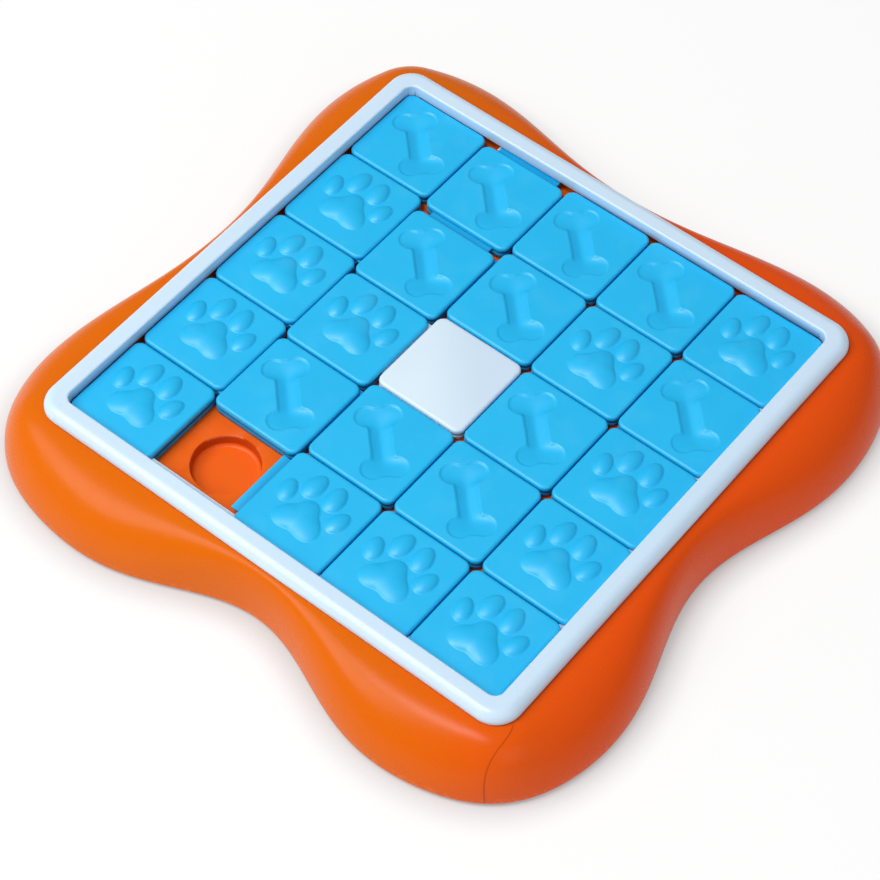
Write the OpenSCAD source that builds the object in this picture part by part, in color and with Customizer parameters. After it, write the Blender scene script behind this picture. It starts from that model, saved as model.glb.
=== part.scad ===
// Sliding-tile treat puzzle: a lobed base holds a tray of round treat cups,
// tongue-and-groove tiles cover the cups and slide about one empty cell,
// and a frame screwed on from below keeps the tiles in.
// Frame of reference: +Z up, X along the tile columns a to e, Y along the rows 1 to 5,
// origin at the centre of the underside, where the feet meet the floor.

/* [Tile grid] */
// Distance from one tile to the next
tile_pitch = 40; // [38:0.5:44]
// Open gap between two tiles
tile_gap = 0.7; // [0.6:0.1:1.2]
// How far the three lower tiles of column b have crept into the empty cell
column_creep = 4.9; // [2:0.1:6]
// How far the top tile of column b has crept after them
column_top_creep = 2.4; // [1:0.1:3]
// How far the crept tiles of column b stand off to the left
column_lean = 0.3; // [0:0.1:0.3]
// How far the three right-hand tiles of row 1 have crept left
row_creep = 0.9; // [0:0.1:0.9]

/* [Tile] */
// Height of a tile without its motif
tile_h = 5.8; // [5.4:0.1:6.4]
// Radius of a tile's four upright corners
tile_corner = 3.6; // [2.5:0.1:5]
// Radius of the rounded edge around the top
tile_edge = 1.2; // [0.6:0.1:1.8]
// How far the tongue stands out of the tile
tongue_reach = 4.2; // [3:0.1:4.4]
// Thickness of the tongue
tongue_t = 1.2; // [1:0.1:1.4]
// Length of side without a tongue at the tile's back left corner
tongue_gap = 5; // [3.6:0.1:8]
// Free height left above and below the tongue in its groove
tongue_play = 0.25; // [0.2:0.05:0.35]
// Thickness of the lip under the groove
groove_lip = 2; // [1.2:0.1:2.2]
// Wall left around the hollow under a tile
tile_wall = 2.2; // [1.6:0.1:3]
// Thickness of a tile's top over the hollow
tile_roof = 2.6; // [2.3:0.1:3]

/* [Motifs] */
// Height of the raised paw pad
paw_h = 1.5; // [0.8:0.1:2]
// Depth of the sunk bone
bone_depth = 1.1; // [0.6:0.1:1.4]
// Radius of a bone's round knobs
bone_knob_r = 4.6; // [4:0.1:5]
// Width of a bone's shaft
bone_shaft_w = 8.4; // [6:0.1:9]

/* [Treat tray] */
// Height of the floor that the tiles slide on
floor_z = 20; // [18:0.5:22]
// Thickness of the tray's floor and walls
tray_t = 1.8; // [1.4:0.1:2.2]
// Radius of a treat cup at its mouth
cup_mouth_r = 13.3; // [11:0.1:14]
// Radius of a treat cup at its floor
cup_floor_r = 12.7; // [10:0.1:13]
// Depth of a treat cup
cup_depth = 5.4; // [4.5:0.1:6.5]
// Radius of the rounding between a cup's wall and floor
cup_fillet = 1.6; // [0.5:0.1:2.5]

/* [Frame] */
// Width of the frame's top
frame_w = 8.5; // [7.5:0.1:10]
// How far the frame stands above the tiles
frame_rise = 4.4; // [4:0.1:7]
// Radius of the rounded outer edge along the top
frame_edge = 4.2; // [1.5:0.1:4.2]
// Radius of the frame's outer corners
frame_corner = 10.5; // [8:0.5:14]

/* [Base shell] */
// Reach of the four lobes from the middle, before the waists are drawn in
lobe_reach = 135.3; // [130:0.1:138]
// How squarely the four lobes stand out
lobe_power = 4.9; // [4:0.1:6]
// How far each waist is drawn in: right, left, back and front side
waist_depth = [17.4, 19.7, 20, 20.8]; // [8:0.1:21.5]
// Half the length of each waist: right, left, back and front side
waist_half = [106, 137, 137, 98]; // [80:1:140]
// How far each waist lies off the middle, towards +Y or +X: right, left, back and front side
waist_shift = [-3.1, 0.4, -1.2, 3.7]; // [-6:0.1:6]
// Wall thickness of the base shell
shell_t = 2.4; // [1.8:0.1:3]
// Gap between the shell's lower edge and the floor
shell_lift = 1.2; // [0.8:0.1:1.6]

/* [Hidden] */
$fn = 48;
eps = 0.01;
cells = 5;

// Tile, all around its own centre and from its underside up
tile_w = tile_pitch - tile_gap;
tile_lift = 0.2;
tile_z = floor_z + tile_lift;
tile_top = tile_z + tile_h;
tongue_z = groove_lip + tongue_play;
groove_h = tongue_t + 2 * tongue_play;
groove_depth = tongue_reach + 0.4;
tongue_cut = tongue_reach + 1.2;
groove_wall = 1.4;
pocket_h = tile_h - tile_roof;

// Bay between the frame's inner walls
bay = cells * tile_pitch / 2;
frame_out = bay + frame_w;
frame_top = tile_top + frame_rise;
skirt_out = bay + 6.5;
skirt_corner = frame_corner - 2.2;
lip_z = tile_top - 0.3;
bay_corner = 3.9;
inner_edge = 0.8;
rail_reach = tongue_reach - tile_gap / 2;

// Screws and the posts they go into
screw_out = bay + 2.6;
screw_along = 50;
post_r = 2.6;
pilot_r = 1.25;
post_bottom = 10.2;
flange_top = 10;
flange_t = 2;
flange_in = bay - 2;

// Base shell
rim = frame_out - 0.1;
rim_z = lip_z - 0.4;
widest_z = 2.4;
tuck = 0.9;
wall_in = skirt_out + 0.3;
wall_out = wall_in + 2;
wall_corner = frame_corner - 3;
stations = 112;
dome_steps = 10;
boss_at = 101;
boss_r = 8.5;
foot_r = 7.5;
foot_h = 1.6;
stem_r = 5.9;
stem_h = 2;

// Name, column, row and motif of every tile; cell b1 is the empty one
TILES = [
    ["paw_tile_a1", 0, 0, "paw"], ["paw_tile_c1", 2, 0, "paw"],
    ["paw_tile_d1", 3, 0, "paw"], ["paw_tile_e1", 4, 0, "paw"],
    ["paw_tile_a2", 0, 1, "paw"], ["bone_tile_b2", 1, 1, "bone"],
    ["bone_tile_c2", 2, 1, "bone"], ["bone_tile_d2", 3, 1, "bone"],
    ["paw_tile_e2", 4, 1, "paw"], ["paw_tile_a3", 0, 2, "paw"],
    ["paw_tile_b3", 1, 2, "paw"], ["plain_tile_c3", 2, 2, "plain"],
    ["bone_tile_d3", 3, 2, "bone"], ["paw_tile_e3", 4, 2, "paw"],
    ["paw_tile_a4", 0, 3, "paw"], ["bone_tile_b4", 1, 3, "bone"],
    ["bone_tile_c4", 2, 3, "bone"], ["paw_tile_d4", 3, 3, "paw"],
    ["bone_tile_e4", 4, 3, "bone"], ["bone_tile_a5", 0, 4, "bone"],
    ["bone_tile_b5", 1, 4, "bone"], ["bone_tile_c5", 2, 4, "bone"],
    ["bone_tile_d5", 3, 4, "bone"], ["paw_tile_e5", 4, 4, "paw"]
];

// Where a tile has crept to from the middle of its cell
function creep(col, row) =
    col == 1 && row == 4 ? [0, -column_top_creep] :
    col == 1 ? [-column_lean, -column_creep] :
    row == 0 && col > 1 ? [-row_creep, 0] : [0, 0];

// Middle of a cell of the grid
function cell_at(col, row) = [for (k = [col, row]) (k - (cells - 1) / 2) * tile_pitch];

// Radius of a ball that shows as a cap of the given width and height
function cap_ball(half_w, h) = (half_w * half_w + h * h) / (2 * h);

// Distance from the centre to a rounded square, along the angle a
function square_at(half, corner, a) =
    let (u = abs(cos(a)), v = abs(sin(a)), c = half - corner,
         flat = half / max(u, v),
         on_flat = min(u, v) * flat <= c)
    on_flat ? flat : c * (u + v) + sqrt(corner * corner - c * c * (u - v) * (u - v));

// Smooth dip, deepest at 0 and gone at 1
function dip(t) = abs(t) >= 1 ? 0 : pow(0.5 + 0.5 * cos(180 * t), 2.1);

// Outline of the lobes where they are widest, along the angle a
function lobe_at(a) =
    let (r = lobe_reach / pow(pow(abs(cos(a)), lobe_power) + pow(abs(sin(a)), lobe_power),
                              1 / lobe_power),
         x = r * cos(a), y = r * sin(a),
         side = x > 0 ? 0 : 1, end = y > 0 ? 2 : 3)
    [x - sign(x) * waist_depth[side] * dip((y - waist_shift[side]) / waist_half[side]),
     y - sign(y) * waist_depth[end] * dip((x - waist_shift[end]) / waist_half[end])];

// Angles of the stations around the shell, closer together at the corners
function station(k) =
    let (quarter = stations / 4, q = floor(k / quarter), t = 2 * (k - q * quarter) / quarter - 1)
    q * 90 + 45 + 45 * sign(t) * pow(abs(t), 1.5);

// Point of a rounded square ring at the angle a and the height z
function ring_pt(half, corner, a, z) =
    let (r = square_at(half, corner, a)) [r * cos(a), r * sin(a), z];

// Point of the outline drawn in by an inset, at the angle a and the height z
function low_pt(a, inset, z) =
    let (low = lobe_at(a), m = norm(low)) [for (v = low * (m - inset) / m) v, z];

// Point of a dome from the ring of the given half width at z_top: t runs from 0 there
// to 1 at the widest place
function dome_pt(half, z_top, a, t, inset) =
    let (top = ring_pt(half, frame_corner, a, z_top), low = low_pt(a, inset, widest_z),
         out = pow(sin(90 * t), 0.82), up = pow(cos(90 * t), 1.12))
    [top[0] + (low[0] - top[0]) * out, top[1] + (low[1] - top[1]) * out,
     widest_z + (z_top - widest_z) * up];

// Closed section of the shell at the angle a, from the rim over the dome and back inside
function shell_section(a) = concat(
    [for (i = [0:dome_steps]) dome_pt(rim, rim_z, a, i / dome_steps, 0)],
    [low_pt(a, tuck, shell_lift), low_pt(a, shell_t, shell_lift)],
    [for (i = [dome_steps:-1:0]) dome_pt(wall_out, rim_z - shell_t, a, i / dome_steps, shell_t)],
    [ring_pt(wall_out, frame_corner, a, flange_top - flange_t),
     ring_pt(flange_in, bay_corner, a, flange_top - flange_t),
     ring_pt(flange_in, bay_corner, a, flange_top),
     ring_pt(wall_in, wall_corner, a, flange_top),
     ring_pt(wall_in, wall_corner, a, rim_z)]);

// Edge section of a block with its top edge rounded: width, height and edge radius
module edge_section(w, h, edge) {
    square([w, h - edge]);
    square([w - edge, h]);
    translate([w - edge, h - edge]) intersection() {
        circle(edge);
        translate([-0.5, -0.5]) square(edge + 1);
    }
}

// Block with upright rounded corners and a rounded top edge
module soft_block(w, h, corner, edge) {
    flat = w - 2 * corner;
    translate([-flat / 2, -flat / 2, 0]) cube([flat, flat, h]);
    for (side = [0:3]) rotate(90 * side) {
        translate([flat / 2, 0, 0]) rotate([90, 0, 0])
            linear_extrude(flat, center = true) edge_section(corner, h, edge);
        translate([flat / 2, flat / 2, 0])
            rotate_extrude(angle = 90) edge_section(corner, h, edge);
    }
}

// Plain upright block with rounded corners
module round_block(half, corner, h) {
    flat = half - corner;
    translate([-half, -flat, 0]) cube([2 * half, 2 * flat, h]);
    translate([-flat, -half, 0]) cube([2 * flat, 2 * half, h]);
    for (x = [-flat, flat], y = [-flat, flat]) translate([x, y, 0]) cylinder(h, r = corner);
}

// Tongues along the left and back sides. Both leave the corner between them open, and stop
// short at their other end, where the frame's rails pass
module tile_tongues() {
    half = tile_w / 2;
    long = tile_w - tongue_cut - tongue_gap;
    wide = tongue_reach + tile_wall;
    translate([-half - tongue_reach, -half + tongue_cut, tongue_z]) cube([wide, long, tongue_t]);
    translate([-half + tongue_gap, half - tile_wall, tongue_z]) cube([long, wide, tongue_t]);
}

// Grooves along the right and front sides, and the hollow underneath
module tile_hollows() {
    half = tile_w / 2;
    translate([half - groove_depth, -half - 1, groove_lip]) cube([groove_depth + 1, tile_w + 2, groove_h]);
    translate([-half - 1, -half - 1, groove_lip]) cube([tile_w + 2, groove_depth + 1, groove_h]);
    translate([-half + tile_wall, -half + groove_depth + groove_wall, -1])
        cube([tile_w - tile_wall - groove_depth - groove_wall,
              tile_w - tile_wall - groove_depth - groove_wall, pocket_h + 1]);
}

// Round cap that stands out of the tile's top
module pad_cap(x, y, r, h) {
    ball = cap_ball(r, h);
    translate([x, y, tile_h + h - ball]) sphere(ball);
}

// Long toe that stands out of the tile's top
module toe(x, y, w, length, turn, h) {
    ball = cap_ball(w / 2, h);
    straight = length - w;
    translate([x, y, tile_h + h - ball]) rotate(turn) {
        rotate([90, 0, 0]) cylinder(straight, r = ball, center = true);
        for (end = [-straight / 2, straight / 2]) translate([0, end, 0]) sphere(ball);
    }
}

// Raised paw, toes towards the back
module paw() {
    intersection() {
        translate([-tile_w / 2, -tile_w / 2, tile_h - 0.6]) cube([tile_w, tile_w, paw_h + 2]);
        union() {
            toe(-11.7, 2.8, 6.6, 10.3, 14, paw_h - 0.2);
            toe(-4.7, 9.8, 7.4, 11.6, -6, paw_h);
            toe(4.7, 9.8, 7.4, 11.6, 6, paw_h);
            toe(11.7, 2.8, 6.6, 10.3, -14, paw_h - 0.2);
            pad_cap(0, -3.6, 7.4, paw_h);
            pad_cap(0, 0.4, 4.4, paw_h - 0.2);
            for (side = [-1, 1]) pad_cap(side * 5.8, -7, 4.2, paw_h - 0.2);
        }
    }
}

// Sunk bone across the tile, from its back left to its front right
module bone() {
    half_length = 11.75;
    knob_off = 4.2;
    shaft_ball = cap_ball(bone_shaft_w / 2, bone_depth);
    knob_ball = cap_ball(bone_knob_r, bone_depth + 0.1);
    rotate(-45) {
        translate([0, 0, tile_h - bone_depth + shaft_ball])
            rotate([0, 90, 0]) cylinder(2 * half_length, r = shaft_ball, center = true);
        for (side = [-1, 1], y = [-knob_off, 0, knob_off])
            translate([side * (half_length - (y == 0 ? 1 : 0)), y, tile_h - bone_depth - 0.1 + knob_ball])
                sphere(knob_ball);
    }
}

// Tile around its own centre, standing on its underside at Z = 0
module tile_solid(motif) {
    difference() {
        union() {
            soft_block(tile_w, tile_h, tile_corner, tile_edge);
            if (motif == "paw") paw();
        }
        tile_hollows();
        if (motif == "bone") bone();
    }
    tile_tongues();
}

// One tile in its place on the tray: name, column, row and motif
module tile(row_of_list) {
    at = cell_at(row_of_list[1], row_of_list[2]) + creep(row_of_list[1], row_of_list[2]);
    color(row_of_list[3] == "plain" ? "white" : "deepskyblue")
        translate([at[0], at[1], tile_z]) tile_solid(row_of_list[3]);
}

// Places of the eight screws
module at_screws() {
    for (side = [0:3], along = [-screw_along, screw_along])
        rotate(90 * side) translate([screw_out, along, 0]) children();
}

// Lobed outer shell with the inner wall and the flange that carry the tray
module base_shell() {
    sections = [for (k = [0:stations - 1]) shell_section(station(k))];
    n = len(sections[0]);
    points = [for (s = sections) for (p = s) p];
    faces = [for (k = [0:stations - 1]) for (i = [0:n - 1])
        let (a = k * n + i, b = k * n + (i + 1) % n,
             c = ((k + 1) % stations) * n + i, d = ((k + 1) % stations) * n + (i + 1) % n)
        each [[a, c, b], [b, c, d]]];
    color("darkorange") difference() {
        union() {
            polyhedron(points, faces);
            for (x = [-boss_at, boss_at], y = [-boss_at, boss_at]) translate([x, y, foot_h])
                cylinder(flange_top - foot_h - 0.5, r = boss_r);
        }
        at_screws() translate([0, 0, 5]) cylinder(8, r = 1.7);
        for (x = [-boss_at, boss_at], y = [-boss_at, boss_at]) translate([x, y, 0])
            cylinder(foot_h + stem_h, r = stem_r + 0.1);
    }
}

// Space of one treat cup, from its rounded floor up to its mouth
module cup_space() {
    rotate_extrude() {
        square([cup_floor_r - cup_fillet, cup_depth]);
        polygon([[0, cup_fillet], [cup_floor_r - eps, cup_fillet], [cup_mouth_r, cup_depth],
                 [cup_mouth_r, cup_depth + eps], [0, cup_depth + eps]]);
        translate([cup_floor_r - cup_fillet, cup_fillet]) circle(cup_fillet);
    }
}

// Tray with a treat cup under every cell
module treat_tray() {
    tray_half = wall_in - 0.2;
    skirt = 1.2;
    rib = 1.6;
    cup_bottom = floor_z - cup_depth - tray_t;
    color("orangered") difference() {
        union() {
            translate([0, 0, floor_z - tray_t]) round_block(tray_half, skirt_corner, tray_t);
            difference() {
                translate([0, 0, flange_top]) round_block(tray_half, skirt_corner, floor_z - flange_top);
                translate([0, 0, flange_top - 1])
                    round_block(tray_half - skirt, skirt_corner - skirt, floor_z - flange_top + 2);
            }
            for (col = [0:cells - 1], row = [0:cells - 1]) translate(cell_at(col, row))
                translate([0, 0, cup_bottom]) cylinder(floor_z - cup_bottom, r = cup_mouth_r + tray_t);
            for (k = [1:cells - 1], turn = [0, 90]) rotate(turn)
                translate([-tray_half + 1, (k - cells / 2) * tile_pitch - rib / 2, cup_bottom])
                    cube([2 * tray_half - 2, rib, floor_z - cup_bottom]);
        }
        for (col = [0:cells - 1], row = [0:cells - 1]) translate(cell_at(col, row))
            translate([0, 0, floor_z - cup_depth]) cup_space();
        at_screws() translate([0, 0, floor_z - tray_t - 1]) cylinder(tray_t + 2, r = post_r + 0.2);
    }
}

// What is cut off the frame's inner top edge to round it
module inner_edge_cut() {
    difference() {
        translate([-eps, -inner_edge]) square([inner_edge + eps, inner_edge + 1]);
        translate([inner_edge, -inner_edge]) circle(inner_edge);
    }
}

// Ring that holds the tiles down: grooves take the tongues, rails fill the grooves
module retaining_frame() {
    flat = bay - bay_corner;
    groove_z = tile_z + groove_lip;
    rail_z = tile_z + tongue_z;
    groove_out = bay + tongue_reach + 0.5;
    groove_end = tongue_gap - 1;
    straight = 2 * bay - 1 - groove_end;
    deep = groove_out - bay + 5;
    relief = 1.5;
    relief_h = 1.3;
    lip_end = screw_along + 6;
    lip_cuts = [[-bay + groove_end, -lip_end], [12 - lip_end, lip_end - 12], [lip_end, bay - groove_end]];
    color("aliceblue") {
        difference() {
            union() {
                translate([0, 0, lip_z])
                    soft_block(2 * frame_out, frame_top - lip_z, frame_corner, frame_edge);
                translate([0, 0, floor_z]) round_block(skirt_out, skirt_corner, lip_z - floor_z + 1);
                at_screws() translate([0, 0, post_bottom]) cylinder(floor_z - post_bottom + 0.5, r = post_r);
            }
            translate([0, 0, floor_z - 1]) round_block(bay, bay_corner, frame_top - floor_z + 2);
            for (side = [0:3]) rotate(90 * side) translate([0, 0, frame_top]) {
                translate([bay, 0, 0]) rotate([90, 0, 0])
                    linear_extrude(2 * flat, center = true) inner_edge_cut();
                translate([flat, flat, 0]) rotate_extrude(angle = 90)
                    translate([bay_corner, 0]) inner_edge_cut();
            }
            translate([-groove_out, -bay + 1, groove_z]) cube([deep, straight, groove_h]);
            translate([-bay + groove_end, bay - 5, groove_z]) cube([straight, deep, groove_h]);
            // Undercut at the foot of both inner walls
            translate([-bay - relief, -bay + 1, groove_z])
                cube([relief + 1, straight, groove_h + relief_h]);
            translate([-bay + groove_end, bay - 1, groove_z])
                cube([straight, relief + 1, groove_h + relief_h]);
            // The lip under both grooves stays only beside the screw posts
            for (cut = lip_cuts) {
                translate([-groove_out, cut[0], floor_z - 1])
                    cube([deep, cut[1] - cut[0], groove_z - floor_z + 1.5]);
                translate([cut[0], bay - 5, floor_z - 1])
                    cube([cut[1] - cut[0], deep, groove_z - floor_z + 1.5]);
            }
            at_screws() translate([0, 0, post_bottom - 1]) cylinder(9, r = pilot_r);
        }
        translate([bay - rail_reach, -bay - 1, rail_z]) cube([rail_reach + 1, 2 * bay - 5, tongue_t]);
        translate([-bay + 6, -bay - 1, rail_z]) cube([2 * bay - 6, rail_reach + 1, tongue_t]);
    }
}

// Pan-head screws that hold the frame and the tray on the base shell
module frame_screws() {
    color("silver") at_screws() difference() {
        union() {
            translate([0, 0, flange_top - flange_t - 1.8]) cylinder(1.8, r = 3);
            translate([0, 0, flange_top - flange_t - 0.5]) cylinder(9, r = pilot_r - 0.05);
        }
        for (turn = [0, 90]) rotate(turn)
            translate([-1.5, -0.35, flange_top - flange_t - 2.8]) cube([3, 0.7, 2]);
    }
}

// Rubber foot: a disc with a stem that plugs into its boss
module foot(side_x, side_y) {
    color("dimgray") translate([side_x * boss_at, side_y * boss_at, 0]) {
        translate([0, 0, 0.4]) cylinder(foot_h - 0.4, r = foot_r);
        cylinder(0.4, r1 = foot_r - 0.4, r2 = foot_r);
        translate([0, 0, foot_h - 0.2]) cylinder(stem_h, r = stem_r);
    }
}

module foot_front_left() { foot(-1, -1); }
module foot_front_right() { foot(1, -1); }
module foot_back_left() { foot(-1, 1); }
module foot_back_right() { foot(1, 1); }

base_shell();
treat_tray();
retaining_frame();
frame_screws();
foot_front_left();
foot_front_right();
foot_back_left();
foot_back_right();
for (t = TILES) tile(t);
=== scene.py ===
# %% [markdown]
# # A sliding-tile treat puzzle for dogs
# The toy is a shallow orange base with four soft lobes. An ice-white frame holds twenty-four
# tiles on a tray of round treat cups, and one cell of the five by five grid stays empty, so that
# a dog can push the tiles about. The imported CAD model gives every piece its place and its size.
# This lesson gives the pieces their smooth moulded skins, their paws and bones and their plastic.

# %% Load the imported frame
import math

import bmesh
import bpy
import numpy as np
from mathutils import Matrix, Vector


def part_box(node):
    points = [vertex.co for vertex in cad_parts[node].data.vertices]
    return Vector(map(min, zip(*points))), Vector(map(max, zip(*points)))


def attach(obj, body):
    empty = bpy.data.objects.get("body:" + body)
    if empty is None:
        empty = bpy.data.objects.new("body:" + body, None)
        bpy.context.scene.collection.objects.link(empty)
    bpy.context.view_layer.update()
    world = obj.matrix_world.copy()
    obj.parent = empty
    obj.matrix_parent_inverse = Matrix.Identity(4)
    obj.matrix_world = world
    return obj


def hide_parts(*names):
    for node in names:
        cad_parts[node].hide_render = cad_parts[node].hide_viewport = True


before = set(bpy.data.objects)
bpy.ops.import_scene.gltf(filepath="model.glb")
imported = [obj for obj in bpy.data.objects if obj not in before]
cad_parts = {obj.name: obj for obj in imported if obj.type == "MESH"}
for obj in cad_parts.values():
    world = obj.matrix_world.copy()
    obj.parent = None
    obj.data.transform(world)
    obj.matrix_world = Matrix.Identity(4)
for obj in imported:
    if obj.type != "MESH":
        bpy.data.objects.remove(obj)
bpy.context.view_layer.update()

MM = 0.001

# %% [markdown]
# ## Camera
# The toy lies flat and is seen from above its front right side, from about a metre away, with a
# long lens. The three axes of the camera are written out, because a camera that is aimed with a
# constraint would lose its last half degree of roll.

# %% Camera
camera_axes = [(0.780008, 0.625687, 0.010196), (-0.513833, 0.631096, 0.581114),
               (0.357161, -0.458512, 0.813758)]
camera_at = Vector((0.370034, -0.480481, 0.832669))
sensor_width, focal_length = 36, 112.042

bpy.ops.object.select_all(action="DESELECT")
bpy.ops.object.camera_add(location=camera_at)
camera = bpy.context.active_object
turn = Matrix(camera_axes).transposed().to_4x4()
camera.matrix_world = Matrix.Translation(camera_at) @ turn
camera.data.sensor_width, camera.data.lens = sensor_width, focal_length
camera.data.clip_start, camera.data.clip_end = 0.05, 20
bpy.context.scene.camera = camera
bpy.context.scene.view_settings.view_transform = "Standard"
print("camera at", tuple(round(v, 3) for v in camera_at), "lens", focal_length)

# %% [markdown]
# ## Helpers for modelling
# Operators act on whatever is selected, so each piece starts with an empty selection. Small
# helpers carry most of the work. They add a primitive, apply a modifier, unite pieces or cut one
# out of another, merge doubled corners, and give soft shading that still breaks at real edges.


# %% Helpers for modelling
def fresh(operator, name, **settings):
    """Deselect everything, add one primitive and name it."""
    bpy.ops.object.select_all(action="DESELECT")
    operator(**settings)
    bpy.context.active_object.name = name
    return bpy.context.active_object


def only(obj):
    """Make one object the selected and active one."""
    bpy.ops.object.select_all(action="DESELECT")
    obj.select_set(True)
    bpy.context.view_layer.objects.active = obj


def modify(obj, kind, **settings):
    """Add a modifier and apply it at once."""
    only(obj)
    modifier = obj.modifiers.new(kind.title(), kind)
    for key, value in settings.items():
        setattr(modifier, key, value)
    bpy.ops.object.modifier_apply(modifier=modifier.name)


def combine(obj, other, operation):
    """Unite obj with another closed piece, or cut the other out of it, and clear the other away."""
    modify(obj, "BOOLEAN", operation=operation, object=other, solver="EXACT")
    bpy.data.objects.remove(other)


def clean(obj, doubles=0.00001):
    """Merge doubled corners and turn every face outwards."""
    only(obj)
    bpy.ops.object.mode_set(mode="EDIT")
    bpy.ops.mesh.select_all(action="SELECT")
    bpy.ops.mesh.remove_doubles(threshold=doubles)
    bpy.ops.mesh.normals_make_consistent(inside=False)
    bpy.ops.object.mode_set(mode="OBJECT")


def smooth(obj, angle):
    """Shade softly, but keep the edges that turn by more than the angle."""
    only(obj)
    bpy.ops.object.shade_smooth_by_angle(angle=math.radians(angle))


def block(name, low, high):
    """A box between two corners in millimetres, as a cutter or a starting block."""
    size = [(b - a) * MM for a, b in zip(low, high)]
    middle = [(a + b) / 2 * MM for a, b in zip(low, high)]
    obj = fresh(bpy.ops.mesh.primitive_cube_add, name, size=1, location=middle)
    obj.scale = size
    bpy.ops.object.transform_apply(location=True, rotation=True, scale=True)
    return obj


def rod(name, x, y, low, high, radius, sides=48):
    """An upright cylinder in millimetres."""
    obj = fresh(bpy.ops.mesh.primitive_cylinder_add, name, vertices=sides, radius=radius * MM,
                depth=(high - low) * MM, location=(x * MM, y * MM, (low + high) / 2 * MM))
    bpy.ops.object.transform_apply(location=True, rotation=True, scale=True)
    return obj


def joined(parts, name):
    """Join loose parts into one object."""
    only(parts[0])
    for part in parts[1:]:
        part.select_set(True)
    if len(parts) > 1:
        bpy.ops.object.join()
    parts[0].name = name
    return parts[0]


print("modelling helpers ready")

# %% [markdown]
# ## Shader maths
# A plastic is a formula over places on its surface. To write that formula as plain Python, a
# small class wraps a socket and lets it be added, subtracted and multiplied like a number. Every
# other node comes from the one `node` method of the finish that it belongs to.


# %% Shader maths
class Wire:
    """A socket that works like a number in a formula."""

    def __init__(self, finish, socket):
        self.finish, self.socket = finish, socket

    def maths(self, operation, *terms):
        return self.finish.node("ShaderNodeMath", {"operation": operation}, dict(enumerate(terms)))

    def __add__(self, other):
        return self.maths("ADD", self, other)

    def __sub__(self, other):
        return self.maths("SUBTRACT", self, other)

    def __rsub__(self, other):
        return self.maths("SUBTRACT", other, self)

    def __mul__(self, other):
        return self.maths("MULTIPLY", self, other)

    __radd__, __rmul__ = __add__, __mul__

    def size(self):
        """The value without its sign."""
        return self.maths("ABSOLUTE", self)

    def step(self, low, high):
        """0 below low, 1 above high and a soft ramp between."""
        return self.finish.node("ShaderNodeMapRange", {"interpolation_type": "SMOOTHSTEP"},
                                {"Value": self, "From Min": low, "From Max": high})


class Finish:
    """One material: its shader, its nodes and the place that its patterns read."""

    def __init__(self, name, **shader_values):
        self.material = bpy.data.materials.new(name)
        self.material.use_nodes = True
        self.tree = self.material.node_tree
        self.shader = self.tree.nodes["Principled BSDF"]
        for key, value in shader_values.items():
            self.shader.inputs[key.replace("_", " ")].default_value = value
        self.place = self.node("ShaderNodeTexCoord", {}, {}, out="Object")
        split = self.node("ShaderNodeSeparateXYZ", {}, {0: self.place}, out=None)
        self.x, self.y, self.z = (Wire(self, split.outputs[k]) for k in range(3))

    def node(self, kind, settings, values, out=0):
        """Add a node; give back one of its outputs, or the node itself if out is None."""
        node = self.tree.nodes.new(kind)
        for key, value in settings.items():
            setattr(node, key, value)
        for key, value in values.items():
            self.plug(node.inputs[key], value)
        return node if out is None else Wire(self, node.outputs[out])

    def plug(self, socket, value):
        """Link a wire to a socket, or set the socket to a plain value."""
        if isinstance(value, Wire):
            self.tree.links.new(value.socket, socket)
        else:
            socket.default_value = value

    def noise(self, scale, detail=2.0):
        """A cloudy pattern from 0 to 1 with so many clouds in a metre."""
        return self.node("ShaderNodeTexNoise", {},
                         {"Vector": self.place, "Scale": scale, "Detail": detail})

    def mix(self, share, low, high):
        """A colour between two colours."""
        return self.node("ShaderNodeMix", {"data_type": "RGBA"}, {0: share, 6: low, 7: high}, out=2)

    def bump(self, height, depth):
        """Feed a height in metres times depth to the shader's normal."""
        normal = self.node("ShaderNodeBump", {}, {"Height": height, "Distance": depth,
                                                  "Strength": 1.0})
        self.plug(self.shader.inputs["Normal"], normal)

    def feed(self, **links):
        """Plug wires or values into the shader's own sockets, by name."""
        for key, value in links.items():
            self.plug(self.shader.inputs[key.replace("_", " ")], value)


def dye(red, green, blue):
    """A screen colour from 0 to 255 as the linear colour that a shader takes."""
    return (*((c / 255 / 12.92) if c < 11 else ((c / 255 + 0.055) / 1.055) ** 2.4
              for c in (red, green, blue)), 1.0)


print("shader helpers ready")
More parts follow.
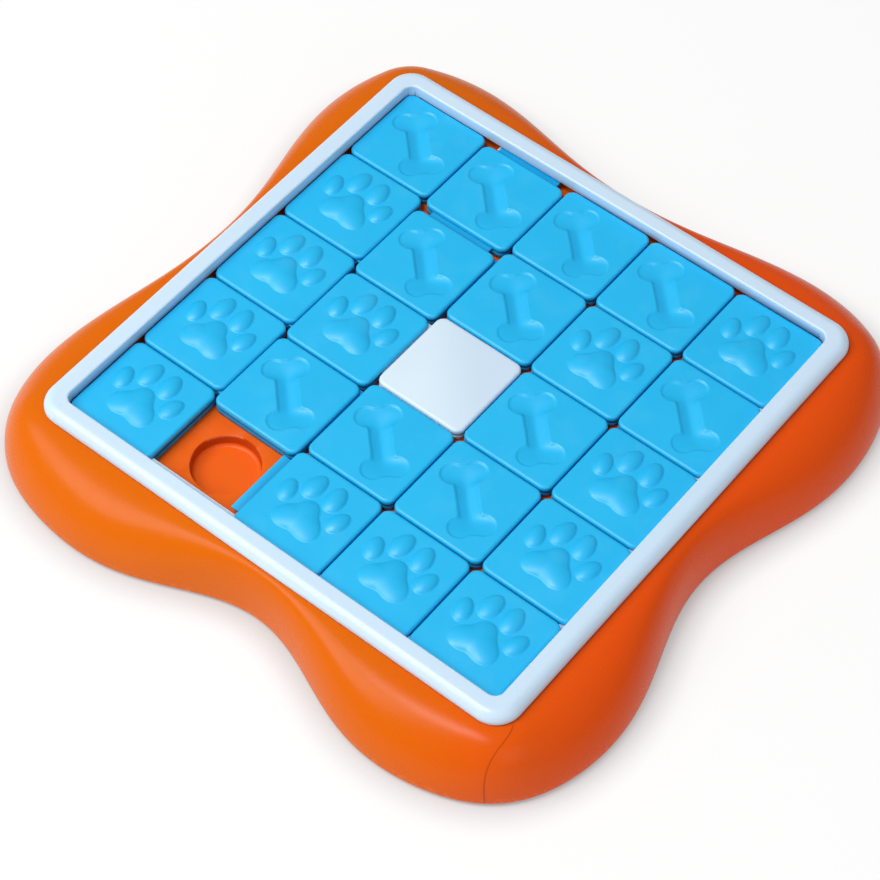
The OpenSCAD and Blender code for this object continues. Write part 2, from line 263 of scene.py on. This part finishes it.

# %% [markdown]
# ## Moulded plastics
# All of the hard pieces are injection moulded, but not alike. One function starts each plastic
# with a tone that drifts a little, a fine spark-eroded grain and an uneven gloss. `done` wires it
# up, once each plastic has got what is its own:
#
# - Painted shade turns the base redder towards its right and back walls, which face away from
#   the window, and its foot edge is scuffed.
# - The tiles have a faint polish where noses and paws rub their tops. Their upright sides get
#   painted shade, a deeper blue, so that every gap reads as a dark line. Each tile's mesh says
#   where they are, in an attribute, because the tongues lie at the same height and stay light.
# - The white tile gets painted shade: its right and back half, across its diagonal, is greyer.
# - The walls of the treat cups get painted shade, darker than the floor of the tray and of the
#   cups.
# - The frame shines most and has nothing added.


# %% Moulded plastics
def moulded(name, tone, deep_tone, rough, grain_size, grain_depth, drift_size, shine):
    """A coloured plastic. The sizes of its grain and of its drift in shade are in metres."""
    drift_share, grain_share = 0.8, 0.2
    blotch_size, blotch_gloss, grain_gloss = grain_size * 14, 0.12, 0.06
    finish = Finish(name, Specular_IOR_Level=shine)
    drift = finish.noise(1 / drift_size, 3.0).step(0.3, 0.7)
    grain = finish.noise(1 / grain_size, 2.0)
    blotch = finish.noise(1 / blotch_size, 3.0)
    finish.tone = finish.mix(drift * drift_share + grain * grain_share, tone, deep_tone)
    finish.rough = rough + (blotch - 0.5) * blotch_gloss + (grain - 0.5) * grain_gloss
    finish.grain, finish.grain_depth = grain, grain_depth
    return finish


def done(finish):
    """Wire a moulded plastic's tone, gloss and grain to its shader."""
    finish.feed(Base_Color=finish.tone, Roughness=finish.rough)
    finish.bump(finish.grain, finish.grain_depth)
    return finish.material


orange = moulded("orange base plastic", dye(223, 106, 5), dye(220, 101, 4), rough=0.28,
                 grain_size=0.0007, grain_depth=0.00003, drift_size=0.05, shine=0.13)
# Painted shade: the right and back walls, which face away from the window, are redder.
painted_wall_shade = (orange.x + orange.y * 0.6).step(-0.03, 0.09)
orange.tone = orange.mix(painted_wall_shade, orange.tone, dye(230, 80, 12))
near_foot = 1 - orange.z.step(0.0015, 0.006)
scuffs = orange.noise(420, 4.0).step(0.52, 0.66) * near_foot
orange.tone = orange.mix(scuffs * 0.4, orange.tone, dye(246, 150, 84))
orange.rough = orange.rough + scuffs * 0.15

blue = moulded("sky-blue tile plastic", dye(22, 187, 242), dye(18, 183, 239), rough=0.45,
               grain_size=0.0005, grain_depth=0.000012, drift_size=0.02, shine=0.6)
on_top = blue.z.step(0.0255, 0.0262)
rubs = blue.noise(90, 4.0).step(0.5, 0.68) * on_top
blue.tone = blue.mix(rubs * 0.08, blue.tone, dye(120, 212, 250))
# Painted shade: the upright sides of a tile are a deeper blue, so that the gaps read dark.
painted_side_shade = blue.node("ShaderNodeAttribute", {"attribute_name": "painted_side_shade"}, {}, out="Fac")
blue.tone = blue.mix(painted_side_shade * 0.6, blue.tone, dye(8, 104, 165))
blue.rough = blue.rough - rubs * 0.08
print("base and tile plastic ready")

# %% White, ice and tray plastic
white = moulded("white tile plastic", dye(220, 238, 250), dye(216, 235, 248), rough=0.4,
                grain_size=0.0005, grain_depth=0.00002, drift_size=0.02, shine=0.4)
# Painted shade: the right and back half of the white tile, away from the window, is greyer.
painted_tile_shade = (white.x + white.y).step(-0.02, 0.02) * 0.8
white.tone = white.mix(painted_tile_shade, white.tone, dye(202, 222, 241))
ice = moulded("ice-white frame plastic", dye(210, 232, 251), dye(205, 228, 248), rough=0.3,
              grain_size=0.0009, grain_depth=0.000008, drift_size=0.06, shine=0.5)
cup_red = moulded("red-orange tray plastic", dye(240, 101, 10), dye(236, 94, 9), rough=0.4,
                  grain_size=0.0006, grain_depth=0.00001, drift_size=0.04, shine=0.3)
# Painted shade: the walls of the cups are darker than their floors.
above_floor, at_mouth = cup_red.z.step(0.0152, 0.0162), cup_red.z.step(0.0188, 0.0199)
painted_cup_shade = above_floor * (1 - at_mouth)
cup_red.tone = cup_red.mix(painted_cup_shade * 0.7, cup_red.tone, dye(170, 48, 12))
print("plastics", [f.material.name for f in (orange, blue, white, ice, cup_red)])

# %% [markdown]
# ### The knit line
# Where two fronts of molten plastic meet in the mould they leave a fine line. The base shows one
# that curves down over its front right lobe. It has no height worth modelling, so it is a thin
# darker stroke in the finish. One coordinate runs outwards along the lobe and one across it. The
# stroke's course is a cubic of the first, and the distance to it turns into a narrow mask that
# starts at the frame.

# %% The knit line
knit_middle, knit_start, knit_full = 0.223, 0.209, 0.2125
knit_cubic, knit_square, knit_slope, knit_shift = 2858, 13.97, 1.046, 0.00325
knit_core, knit_fade, knit_share = 0.0001, 0.00075, 0.55

along = orange.x - orange.y
across = orange.x + orange.y
past = along - knit_middle
course = ((past * knit_cubic + knit_square) * past - knit_slope) * past - knit_shift
stroke = 1 - (across - course).size().step(knit_core, knit_fade)
knit = stroke * along.step(knit_start, knit_full)
orange.tone = orange.mix(knit * knit_share, orange.tone, dye(150, 42, 10))
print("knit line drawn in", orange.material.name)

# %% [markdown]
# ### Rubber and steel
# The feet are matt black rubber with a dusty bloom. The screws are zinc-plated steel with
# cloudy spots, in which the plating is duller. A short table then names the plastic of each
# slot, and `dress` gives a finished piece the plastic of its slot and its body, and hides the
# nodes that it stands for.

# %% Rubber and steel
rubber = Finish("matt black rubber", IOR=1.5)
dust = rubber.noise(700, 4.0)
rubber.feed(Base_Color=rubber.mix(dust.step(0.35, 0.75), dye(34, 34, 36), dye(58, 57, 56)),
            Roughness=0.78 + dust * 0.12)
rubber.bump(rubber.noise(3500, 2.0), 0.00004)

steel = Finish("zinc-plated steel", Metallic=1.0)
spots = steel.noise(900, 3.0)
steel.feed(Base_Color=steel.mix(spots.step(0.3, 0.7), dye(196, 197, 200), dye(172, 174, 180)),
           Roughness=0.28 + spots * 0.2)
steel.bump(steel.noise(5000, 2.0), 0.00001)
print("hidden finishes", rubber.material.name, "and", steel.material.name)

# %% Plastic of each slot
plastics = {"shell": done(orange), "tile": done(blue), "plain_tile": done(white),
            "frame": done(ice), "tray": done(cup_red), "foot": rubber.material,
            "screw": steel.material}
print("finishes for slots", sorted(plastics))


def dress(obj, slot_name, body, *nodes):
    """Give a finished piece the plastic of its slot and its body, and hide the nodes it stands for.
    """
    obj.data.materials.clear()
    obj.data.materials.append(plastics[slot_name])
    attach(obj, body)
    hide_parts(*nodes)
    return obj


# %% [markdown]
# ## The base
# The base is one thin moulding. Seen from above, its outline swings out to four lobes and in to
# four waists, while its top edge is a rounded square that carries the frame. A hand modeller
# would roll a sheet of quads round the toy like a strip of clay. That is done here: a grid
# primitive is laid round the outline, one column for each direction, and its rows follow the
# section from the rim, over the dome, round the foot edge and back up inside.
#
# The outline is a square with very round corners, from which each side's waist is taken as a
# soft dip with its own depth, half width and sideways shift. All measures are in millimetres.

# %% Outline of the base
lobe_reach, lobe_power, dip_power = 135.2, 4.9, 2.1
waist_depth = {"right": 17.4, "left": 19.7, "back": 20, "front": 20.8}
waist_half = {"right": 106, "left": 137, "back": 137, "front": 98}
waist_shift = {"right": -3.1, "left": 0.4, "back": -1.2, "front": 3.7}
waists = (waist_depth, waist_half, waist_shift)
rim, rim_z, rim_corner = 108.4, 25.3, 10.5
wall_in, wall_out, wall_corner = 106.8, 108.8, 7.5
flange_in, flange_low, flange_high, flange_corner = 98, 8, 10, 3.9
widest_z, foot_edge_z, foot_tuck, shell_t = 2.4, 1.2, 0.9, 2.4
dome_out, dome_up = 0.82, 1.12  # powers that bend the dome away from a quarter ellipse


def dip(t):
    """1 in the middle of a waist, 0 from its ends on and soft between."""
    wave = 0.5 + 0.5 * np.cos(np.pi * np.clip(t, -1, 1))
    return np.where(abs(t) >= 1, 0, wave ** dip_power)


def outline(angle, inset=0.0):
    """The widest outline of the base, drawn in by an inset, in millimetres."""
    c, s = np.cos(angle), np.sin(angle)
    reach = lobe_reach / (abs(c) ** lobe_power + abs(s) ** lobe_power) ** (1 / lobe_power)
    x, y = reach * c, reach * s
    deep_x, half_x, shift_x = (np.where(x > 0, side["right"], side["left"]) for side in waists)
    deep_y, half_y, shift_y = (np.where(y > 0, side["back"], side["front"]) for side in waists)
    px = x - np.sign(x) * deep_x * dip((y - shift_x) / half_x)
    py = y - np.sign(y) * deep_y * dip((x - shift_y) / half_y)
    far = np.hypot(px, py)
    return px * (far - inset) / far, py * (far - inset) / far


def rounded_square(half, corner, angle):
    """A square ring with round corners, in millimetres."""
    u, v = abs(np.cos(angle)), abs(np.sin(angle))
    core, flat = half - corner, half / np.maximum(u, v)
    bend = np.sqrt(np.maximum(corner**2 - core**2 * (u - v) ** 2, 0))
    far = np.where(np.minimum(u, v) * flat <= core, flat, core * (u + v) + bend)
    return far * np.cos(angle), far * np.sin(angle)


# The directions lie closer together towards each lobe, where the rim turns its corner.
quarter, crowding = 64, 1.4
spread = np.linspace(-1, 1, quarter + 1)[:-1]
spread = 45 + 45 * np.sign(spread) * abs(spread) ** crowding
angles = np.radians(np.concatenate([q * 90 + spread for q in range(4)] + [[360]]))
print("directions round the base", len(angles) - 1)


# %% Section of the base
def level(points, z):
    """One row of the base: a ring of points at one height."""
    return np.stack([points[0], points[1], np.full_like(points[0], z)], -1)


def dome(half, top_z, inset, steps):
    """Rows from a rounded square at the top down to the wide outline."""
    high, low = rounded_square(half, rim_corner, angles), outline(angles, inset)
    rows = []
    for t in np.linspace(0, np.pi / 2, steps + 1):
        out, up = math.sin(t) ** dome_out, max(math.cos(t), 0) ** dome_up
        row = [a + (b - a) * out for a, b in zip(high, low)]
        rows.append(level(row, widest_z + (top_z - widest_z) * up))
    return rows


def foot_edge():
    """Rows that round the lower edge from the widest place to the flat rim under it."""
    rows = []
    for t in np.linspace(0, np.pi / 2, 6)[1:]:
        inset = foot_tuck * (1 - math.cos(t))
        z = widest_z - (widest_z - foot_edge_z) * math.sin(t)
        rows.append(level(outline(angles, inset), z))
    return rows + [level(outline(angles, shell_t), foot_edge_z)]


rows = dome(rim, rim_z, inset=0, steps=30) + foot_edge()
rows += dome(wall_out, rim_z - shell_t, inset=shell_t, steps=16)[::-1]
rows += [level(rounded_square(wall_out, rim_corner, angles), flange_low),
         level(rounded_square(flange_in, flange_corner, angles), flange_low),
         level(rounded_square(flange_in, flange_corner, angles), flange_high),
         level(rounded_square(wall_in, wall_corner, angles), flange_high),
         level(rounded_square(wall_in, wall_corner, angles), rim_z)]
rows = np.array(rows + [rows[0]])
print("rows over the section", len(rows))

# %% Roll the base
base = fresh(bpy.ops.mesh.primitive_grid_add, "lobed_base", x_subdivisions=len(angles) - 1,
             y_subdivisions=len(rows) - 1, size=1)
base.data.vertices.foreach_set("co", (rows * MM).ravel().astype(np.float32))
base.data.update()
clean(base)
print("base rolled from", len(rows) - 1, "bands,", len(base.data.vertices), "corners")

# %% [markdown]
# ### Bosses and holes
# Four round bosses under the lobes take the plugs of the rubber feet, and eight holes through
# the flange take the screws. Both are made as rods and united with the base or cut out of it.

# %% Bosses and holes
boss_at, boss_r, boss_top = 101, 8.5, 9.5
foot_h, stem_r, stem_h, stem_play = 1.6, 5.9, 2, 0.1
screw_out, screw_along, hole_r, hole_low, hole_high = 102.6, 50, 1.7, 5, 13
corners = [(x, y) for x in (-boss_at, boss_at) for y in (-boss_at, boss_at)]
screws = [(s * screw_out, a) for s in (-1, 1) for a in (-screw_along, screw_along)]
screws += [(y, x) for x, y in screws]
bosses = [rod("boss", x, y, foot_h, boss_top, boss_r) for x, y in corners]
combine(base, joined(bosses, "bosses"), "UNION")
plugs = [rod("plug", x, y, -1, foot_h + stem_h, stem_r + stem_play) for x, y in corners]
combine(base, joined(plugs, "plugs"), "DIFFERENCE")
holes = [rod("hole", x, y, hole_low, hole_high, hole_r, sides=24) for x, y in screws]
combine(base, joined(holes, "holes"), "DIFFERENCE")
clean(base)
smooth(base, 32)
dress(base, "shell", "base", "base_shell")
print("base", len(base.data.polygons), "faces")

# %% [markdown]
# ## Tile body
# A tile is a soft-edged block. Its top starts as a fine grid, because a paw or a bone will be
# pressed into it, and the grid's border is pulled to a rounded square. The border is then
# extruded step by step over the round edge and down the side, and the underside is filled. Last,
# grooves and the hollow below are cut out, and the tongues that lock into the next tiles are
# added. All measures are in millimetres again, from the middle of the tile's underside.

# %% Measures of a tile
tile_w, tile_h, tile_corner, tile_edge = 39.3, 5.8, 3.6, 1.2
tongue_reach, tongue_cut, tongue_gap, tongue_root = 4.2, 5.4, 5, 1.2
tongue_low, tongue_high = 2.25, 3.45
groove_low, groove_high, groove_depth = 2.0, 3.7, 4.6
pocket_wall, groove_wall, pocket_h = 2.2, 1.4, 3.2
crown_h, foot_bevel, tongue_bevel = 0.2, 0.3, 0.3
half = tile_w / 2
inner, inner_corner = half - tile_edge, tile_corner - tile_edge
core = inner - inner_corner
cells = 120
print("one tile", tile_w, "by", tile_w, "by", tile_h, "mm")


# %% [markdown]
# ### Paw and bone
# The paw stands up and the bone is sunk. Their edges are steep but their tops are soft, like
# pillows, so they are height formulas over the top. Each part of a paw has an outline, and
# `pillow` turns "how far inside the outline" into a height. A toe's outline is an egg. The pad's
# is a rounded triangle with a dent at its heel, which three cosine waves round a circle draw
# well. The bone lies on the tile's diagonal and is worked out for a quarter of it: u runs along
# the shaft and v across it. A small step goes all round, and a rounded valley widens into the
# knobs and fades out there.


# %% Measures of paw and bone
pad_y, pad_h, pad_r, pad_waves, pad_melt = -3.8, 1.8, 8.26, (-0.66, -0.79, 1.65), 0.06
# Each toe: its place, its radii across and along, its lean in degrees and its height.
outer_toe = ((11.7, 2.8), (3.4, 5.15), -14, 1.5)
inner_toe = ((4.7, 9.8), (3.8, 5.85), 6, 1.65)
toe_taper, toe_melt, pillow_power = 0.1, 0.08, 0.7
shaft_r, shaft_end = 4.2, 9.5
knob_r, knob_u, knob_v = 4.5, 11.65, 4.3
bridge_r, bridge_u = 4.4, 10.9  # fills the dent between the two knobs
knob_melt, shaft_melt = 0.8, 0.7
step_h, step_run = 0.45, 0.9
valley_h, valley_edge, valley_round = 2.1, 1.02, 0.3
valley_w, valley_flare, flare_from, flare_run = 4.5, 4.4, 5.5, 6
valley_end, fade_run = 17, 9.5
deepest = step_h + valley_h * (valley_edge - valley_round)
print("pad", pad_h, "mm high, bone", round(deepest, 2), "mm deep at most")


# %% Paw and bone
def melt(a, b, blend):
    """The higher of two heights, with a soft join."""
    return 0.5 * (a + b + np.sqrt((a - b) ** 2 + blend**2))


def pillow(inside, height):
    """Steep where inside is 0, flat on top where it is 1, and below zero outside."""
    return height * np.sign(inside) * np.minimum(abs(inside), 1) ** pillow_power


def toe(x, y, at, radii, lean, height):
    """An egg that is broader towards the pad: radii across and along, lean in degrees."""
    c, s = math.cos(math.radians(lean)), math.sin(math.radians(lean))
    u, v = (x - at[0]) * c + (y - at[1]) * s, -(x - at[0]) * s + (y - at[1]) * c
    u = u / (1 - toe_taper * np.clip(v / radii[1], -1, 1))
    return pillow(1 - (u / radii[0]) ** 2 - (v / radii[1]) ** 2, height)


def paw_height(x, y):
    """A pad and four toes, mirrored about the middle of the tile."""
    round_pad = np.arctan2(x, y - pad_y)
    reach = pad_r
    for count, wave in enumerate(pad_waves, 1):
        reach = reach + wave * np.cos(count * round_pad)
    height = melt(pillow(1 - (np.hypot(x, y - pad_y) / reach) ** 2, pad_h), 0, pad_melt)
    for side in (-1, 1):
        for at, radii, lean, toe_h in (outer_toe, inner_toe):
            one_toe = toe(x, y, (side * at[0], at[1]), radii, side * lean, toe_h)
            height = melt(height, one_toe, toe_melt)
    return height


def ease(t):
    """0 below 0, 1 above 1 and a soft ramp between."""
    t = np.clip(t, 0, 1)
    return t * t * (3 - 2 * t)


def bone_height(x, y):
    """A sunk bone on the diagonal: a step down to its bed and a valley along the shaft."""
    u, v = abs(x - y) / math.sqrt(2), (x + y) / math.sqrt(2)
    shaft = shaft_r - np.hypot(np.maximum(u - shaft_end, 0), v)
    knobs = knob_r - np.hypot(u - knob_u, abs(v) - knob_v)
    knobs = melt(knobs, bridge_r - np.hypot(u - bridge_u, v), knob_melt)
    bed = np.clip(melt(shaft, knobs, shaft_melt) / step_run, 0, 1)
    width = valley_w + valley_flare * ease((u - flare_from) / flare_run)
    valley = valley_h * np.maximum(valley_edge - np.hypot(v / width, valley_round), 0)
    valley = valley * ease((valley_end - u) / fade_run)
    return -step_h * np.sqrt(1 - (1 - bed) ** 2) - valley * bed


def no_height(x, y):
    return x * 0


motifs = {"paw": paw_height, "bone": bone_height, "plain": no_height}
print("motifs", sorted(motifs))


# %% Shape the block of a tile
def from_core(x, y):
    """The nearest point of a tile's square core, and the direction away from it."""
    cx, cy = np.clip(x, -core, core), np.clip(y, -core, core)
    far = np.maximum(np.hypot(x - cx, y - cy), 1e-9)
    return cx, cy, (x - cx) / far, (y - cy) / far


def step_out(obj, out, z):
    """Extrude the selected border and set the new ring at a distance and a height."""
    bpy.ops.mesh.extrude_edges_move()
    mesh = bmesh.from_edit_mesh(obj.data)
    for vert in mesh.verts:
        if vert.select:
            cx, cy, nx, ny = from_core(vert.co.x / MM, vert.co.y / MM)
            reach = inner_corner + out
            vert.co = ((cx + nx * reach) * MM, (cy + ny * reach) * MM, z * MM)
    bmesh.update_edit_mesh(obj.data)


def tile_block(motif):
    """The closed block of one tile with its motif, standing on Z = 0."""
    obj = fresh(bpy.ops.mesh.primitive_grid_add, motif, x_subdivisions=cells,
                y_subdivisions=cells, size=2 * inner * MM)
    place = np.zeros(len(obj.data.vertices) * 3)
    obj.data.vertices.foreach_get("co", place)
    x, y = place.reshape(-1, 3)[:, 0] / MM, place.reshape(-1, 3)[:, 1] / MM
    angle = np.arctan2(y, x)
    rx, ry = rounded_square(inner, inner_corner, angle)
    flat = inner / np.maximum(abs(np.cos(angle)), abs(np.sin(angle)))
    shrink = np.hypot(rx, ry) / flat
    x, y = x * shrink, y * shrink
    crown = crown_h * (1 - (x / inner) ** 2) * (1 - (y / inner) ** 2)
    place = np.stack([x, y, tile_h + crown + motifs[motif](x, y)], -1) * MM
    obj.data.vertices.foreach_set("co", place.ravel())
    obj.data.update()
    only(obj)
    bpy.ops.object.mode_set(mode="EDIT")
    bpy.ops.mesh.select_all(action="SELECT")
    bpy.ops.mesh.region_to_loop()
    for t in np.linspace(0, np.pi / 2, 7)[1:]:
        step_out(obj, tile_edge * math.sin(t), tile_h - tile_edge * (1 - math.cos(t)))
    step_out(obj, tile_edge, foot_bevel)
    step_out(obj, tile_edge - foot_bevel, 0)
    bpy.ops.mesh.edge_face_add()
    bpy.ops.object.mode_set(mode="OBJECT")
    clean(obj)
    return obj


print("top grid", cells, "by", cells, "cells of", round(2 * inner / cells, 3), "mm")


# %% Cut and complete a tile
def tongues():
    """Two straight tongues, left and back, that leave the corner between them open."""
    reach, root = half + tongue_reach, half - tongue_root
    left = block("left", (-reach, -half + tongue_cut, tongue_low),
                 (-root, half - tongue_gap, tongue_high))
    back = block("back", (-half + tongue_gap, root, tongue_low),
                 (half - tongue_cut, reach, tongue_high))
    both = joined([left, back], "tongues")
    modify(both, "BEVEL", width=tongue_bevel * MM, segments=3)
    return both


def mark_side_shade(obj):
    """Store where the painted shade of the upright sides goes: 0 on the round edge, 1 from there
    down.
    """
    flank_top, flank_fade, hair = tile_h - tile_edge + 0.2, 1.0, 0.05
    shares = []
    for vert in obj.data.vertices:
        x, y, z = vert.co / MM
        cx, cy, _, _ = from_core(x, y)
        off = abs(math.hypot(x - cx, y - cy) - inner_corner - tile_edge)
        shares.append(min(max((flank_top - z) / flank_fade, 0), 1) if off < hair else 0)
    layer = obj.data.attributes.new("painted_side_shade", "FLOAT", "POINT")
    layer.data.foreach_set("value", shares)


def whole_tile(motif):
    """A block with grooves right and front, a pocket below, and tongues left and back."""
    obj = tile_block(motif)
    far, groove_end = half + 2, half - groove_depth
    right = block("right", (groove_end, -far, groove_low), (far, far, groove_high))
    combine(obj, right, "DIFFERENCE")
    front = block("front", (-far, -far, groove_low), (far, -groove_end, groove_high))
    combine(obj, front, "DIFFERENCE")
    pocket = block("pocket", (-half + pocket_wall, -groove_end + groove_wall, -2),
                   (groove_end - groove_wall, half - pocket_wall, pocket_h))
    combine(obj, pocket, "DIFFERENCE")
    combine(obj, tongues(), "UNION")
    clean(obj)
    mark_side_shade(obj)
    return obj


patterns = {motif: whole_tile(motif) for motif in motifs}
print("tile patterns", {m: len(o.data.polygons) for m, o in patterns.items()})

# %% [markdown]
# ### Lay the tiles
# Each tile is a copy of its pattern with a mesh of its own, moved to where the CAD tile lies. The
# tongues stand out to the left and to the back, so the right and front faces of the CAD tile's
# box give the place. The column behind the empty cell has crept forward a little, as the packed
# model already says.

# %% Lay the tiles
for node in sorted(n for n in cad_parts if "_tile_" in n):
    motif, cell = node.split("_tile_")
    low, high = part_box(node)
    place = Vector((high.x - half * MM, low.y + half * MM, low.z))
    tile = bpy.data.objects.new("tile_" + cell + "_" + motif, patterns[motif].data.copy())
    bpy.context.collection.objects.link(tile)
    tile.data.transform(Matrix.Translation(place))
    smooth(tile, 60)
    dress(tile, "plain_tile" if motif == "plain" else "tile", "tile_" + cell, node)
for pattern in patterns.values():
    bpy.data.objects.remove(pattern)

# %% [markdown]
# ## Tray, frame, screws and feet
# These pieces already have their true rounding in the CAD model. Its triangles are loose, though,
# so they can't shade softly. A copy of each is merged, shaded by angle and given its plastic, and
# it stands for the node. Weighted normals keep the wide flats flat, right up to their rounded rims.


# %% Tray, frame, screws and feet
def soft_copy(node, name, angle):
    """A merged, softly shaded copy of a CAD node."""
    piece = bpy.data.objects.new(name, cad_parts[node].data.copy())
    bpy.context.collection.objects.link(piece)
    clean(piece, doubles=0.000002)
    smooth(piece, angle)
    modify(piece, "WEIGHTED_NORMAL", keep_sharp=True, weight=80)
    return piece


dress(soft_copy("treat_tray", "cup_tray", 35), "tray", "base", "treat_tray")
dress(soft_copy("retaining_frame", "white_frame", 30), "frame", "base", "retaining_frame")
dress(soft_copy("frame_screws", "pan_screws", 30), "screw", "base", "frame_screws")
for corner in ("front_left", "front_right", "back_left", "back_right"):
    dress(soft_copy("foot_" + corner, "rubber_foot_" + corner, 30), "foot", "base",
          "foot_" + corner)

# %% [markdown]
# ## Floor and light
# The toy stands on a plain white floor. Three soft lamps and a dim, even sky light it:
#
# - The window, to the left and in front, makes the front walls bright and leaves the right walls
#   in shade.
# - The ceiling lamp, small and nearly overhead, puts the highlights on the rounded edges.
# - The fill, low on the right, keeps the shaded walls from going dull.
#
# What the camera sees of the floor, directly, in a mirror or through glass, is mixed with an even
# white, which leaves only the deeper part of the shadow. That white is dimmed within about a
# centimetre of the toy, a painted contact shadow, so that its foot stands firmly on the floor.

# %% Floor and light
white_share, foot_shade_reach = 0.65, 0.013
floor = fresh(bpy.ops.mesh.primitive_plane_add, "floor", size=8)
paper = Finish("white floor", Base_Color=dye(252, 252, 252), Roughness=0.9,
               Specular_IOR_Level=0.0)
rays = paper.node("ShaderNodeLightPath", {}, {}, out=None)
seen = Wire(paper, rays.outputs["Is Camera Ray"]) * white_share
for ray in ("Is Glossy Ray", "Is Transmission Ray"):
    seen = seen + Wire(paper, rays.outputs[ray]) * white_share
# Painted contact shadow: the floor's white glow darkens near the toy's foot.
foot_shade = paper.node("ShaderNodeAmbientOcclusion", {"samples": 16},
                        {"Distance": foot_shade_reach})
glow = paper.node("ShaderNodeEmission", {}, {"Color": foot_shade, "Strength": 1.0})
surface = paper.node("ShaderNodeMixShader", {},
                     {0: seen, 1: Wire(paper, paper.shader.outputs[0]), 2: glow})
paper.plug(paper.tree.nodes["Material Output"].inputs["Surface"], surface)
floor.data.materials.append(paper.material)

world = bpy.data.worlds.new("soft sky")
bpy.context.scene.world = world
world.use_nodes = True
sky = world.node_tree.nodes["Background"]
sky.inputs["Color"].default_value = (0.95, 0.98, 1.0, 1)
sky.inputs["Strength"].default_value = 0.3


def lamp(name, at, width, depth, power, colour=(1.0, 1.0, 1.0)):
    """A rectangular lamp that looks at the middle of the toy."""
    bpy.ops.object.select_all(action="DESELECT")
    bpy.ops.object.light_add(type="AREA", location=at)
    light = bpy.context.active_object
    light.name = name
    light.rotation_euler = (-Vector(at)).to_track_quat("-Z", "Y").to_euler()
    light.data.shape = "RECTANGLE"
    light.data.size, light.data.size_y = width, depth
    light.data.energy, light.data.color = power, colour


lamp("window", (-0.85, -0.95, 1.35), width=0.9, depth=0.9, power=16.5, colour=(1.0, 0.98, 0.95))
lamp("ceiling", (-0.35, -0.55, 1.9), width=0.7, depth=0.35, power=15)
lamp("fill", (1.5, -0.7, 0.9), width=1.2, depth=1.2, power=5)
print("floor, sky and lamps ready")
